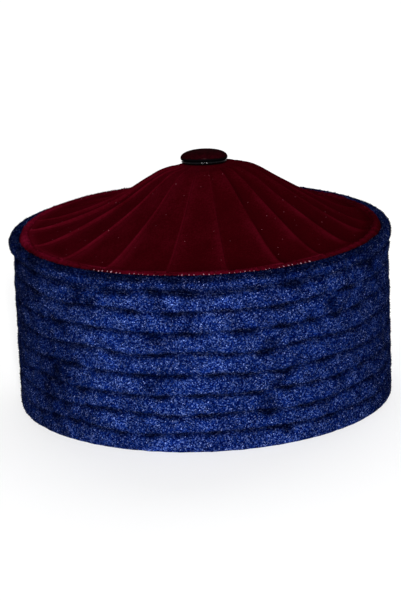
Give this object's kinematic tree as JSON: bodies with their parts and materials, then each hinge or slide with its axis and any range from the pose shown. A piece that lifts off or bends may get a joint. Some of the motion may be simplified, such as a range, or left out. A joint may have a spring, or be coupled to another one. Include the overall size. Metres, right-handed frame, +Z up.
{
  "type": "skullcap",
  "caption": "Round brimless cap with an upright quilted velvet band, a low cone-shaped crown laid in knife pleats, a piped rim seam and a glossy button on top.",
  "frame": {"origin": "centre of the head opening, on the surface that the hem rests on", "axes": "+Z up through the crown, -Y towards the front of the cap, +X to the right as seen from the front"},
  "size_m": [0.1929, 0.191, 0.127],
  "materials": {
    "band_velvet": "crushed velvet pile over padding",
    "crown_velvet": "short velvet pile",
    "piping_velvet": "short velvet pile",
    "collar_gloss": "polished",
    "button_gloss": "polished"
  },
  "bodies": {
    "root": {"band": "band_velvet", "crown": "crown_velvet", "crown_piping": "piping_velvet", "button_collar": "collar_gloss", "button_cap": "button_gloss"}
  },
  "joints": []
}
